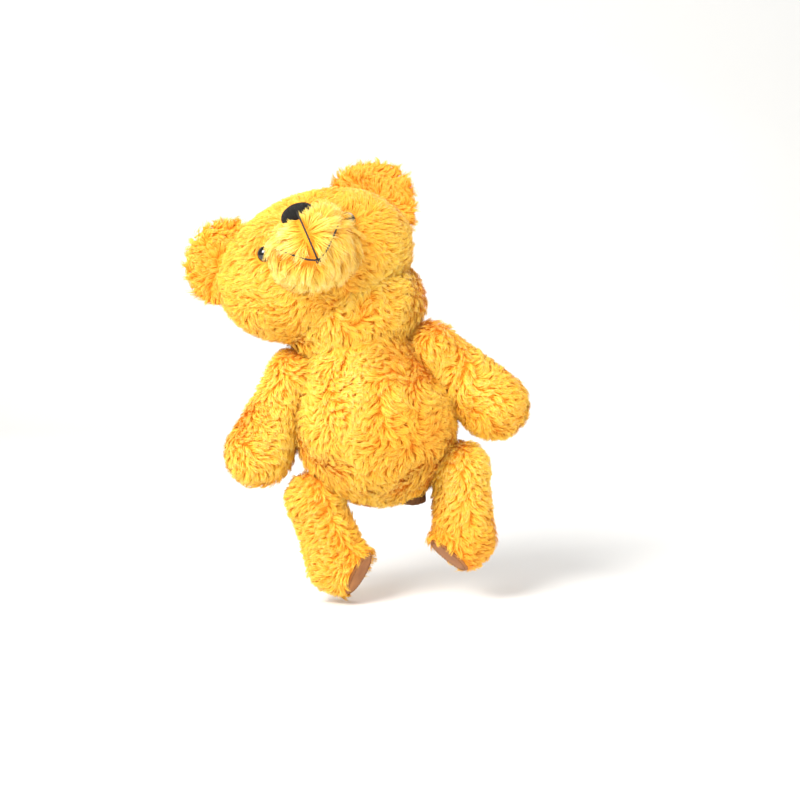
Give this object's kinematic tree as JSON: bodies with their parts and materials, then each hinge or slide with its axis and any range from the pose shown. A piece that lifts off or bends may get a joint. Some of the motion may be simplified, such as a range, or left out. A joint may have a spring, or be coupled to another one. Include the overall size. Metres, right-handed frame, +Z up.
{
  "type": "driver head cover",
  "caption": "Plush animal head cover that pulls over a golf driver head, with a padded pocket in the belly and a gathered cuff round the shaft.",
  "frame": {"origin": "centre of the cuff's throat, on the axis of the club shaft that it closes round", "axes": "+Z up along the shaft into the pocket, the bear faces -Y, and its own left side is on +X"},
  "size_m": [0.3455, 0.1761, 0.4375],
  "materials": {
    "plush_gold": "matte",
    "ear_gold": "matte",
    "suede_brown": "matte",
    "filling_white": "matte",
    "lining_tan": "satin",
    "rib_knit_brown": "matte",
    "elastic_black": "matte",
    "flock_black": "matte",
    "eye_black": "gloss",
    "washer_white": "satin",
    "thread_black": "satin"
  },
  "bodies": {
    "torso": {"torso_front_panel": "plush_gold", "torso_back_panel": "plush_gold", "pocket_pad_front": "filling_white", "pocket_pad_back": "filling_white", "chest_stuffing": "filling_white", "pocket_lining": "lining_tan", "shaft_cuff": "rib_knit_brown", "cuff_elastic": "elastic_black"},
    "neck": {"neck_stuffing": "filling_white"},
    "head": {"head_face_panel": "plush_gold", "head_back_panel": "plush_gold", "head_stuffing": "filling_white", "muzzle_panel": "plush_gold", "muzzle_stuffing": "filling_white", "nose": "flock_black", "nose_washer": "washer_white", "mouth_stitch": "thread_black", "eye_right": "eye_black", "eye_left": "eye_black", "eye_washer_right": "washer_white", "eye_washer_left": "washer_white", "ear_right_front": "ear_gold", "ear_right_back": "plush_gold", "ear_left_front": "ear_gold", "ear_left_back": "plush_gold"},
    "right_arm": {"arm_right_front_panel": "plush_gold", "arm_right_back_panel": "plush_gold", "arm_right_stuffing": "filling_white"},
    "right_leg": {"leg_right_front_panel": "plush_gold", "leg_right_back_panel": "plush_gold", "leg_right_stuffing": "filling_white", "foot_pad_right": "suede_brown"},
    "left_arm": {"arm_left_front_panel": "plush_gold", "arm_left_back_panel": "plush_gold", "arm_left_stuffing": "filling_white"},
    "left_leg": {"leg_left_front_panel": "plush_gold", "leg_left_back_panel": "plush_gold", "leg_left_stuffing": "filling_white", "foot_pad_left": "suede_brown"}
  },
  "joints": [
    {"name": "neck_tilt", "type": "hinge", "parent": "torso", "child": "neck", "pos_m": [-0.06745, 0, 0.17274], "axis": [0, 1, 0], "range_deg": [-10, 10], "stiffness_Nm_per_rad": 4},
    {"name": "neck_nod", "type": "hinge", "parent": "neck", "child": "head", "pos_m": [-0.06745, 0, 0.17274], "axis": [0.9799, 0, 0.1994], "range_deg": [-12, 12], "stiffness_Nm_per_rad": 4},
    {"name": "shoulder_right", "type": "hinge", "parent": "torso", "child": "right_arm", "pos_m": [-0.11663, -0.006, 0.124], "axis": [0, 1, 0], "range_deg": [-3, 65], "stiffness_Nm_per_rad": 0.8},
    {"name": "shoulder_left", "type": "hinge", "parent": "torso", "child": "left_arm", "pos_m": [0.02049, -0.006, 0.1519], "axis": [0, -1, 0], "range_deg": [-3, 65], "stiffness_Nm_per_rad": 0.8},
    {"name": "hip_right", "type": "hinge", "parent": "torso", "child": "right_leg", "pos_m": [-0.09538, -0.01165, 0.00162], "axis": [-0.9799, 0, -0.1994], "range_deg": [-10, 60], "stiffness_Nm_per_rad": 0.8},
    {"name": "hip_left", "type": "hinge", "parent": "torso", "child": "left_leg", "pos_m": [0.04876, -0.01165, 0.03095], "axis": [-0.9799, 0, -0.1994], "range_deg": [-10, 60], "stiffness_Nm_per_rad": 0.8}
  ]
}
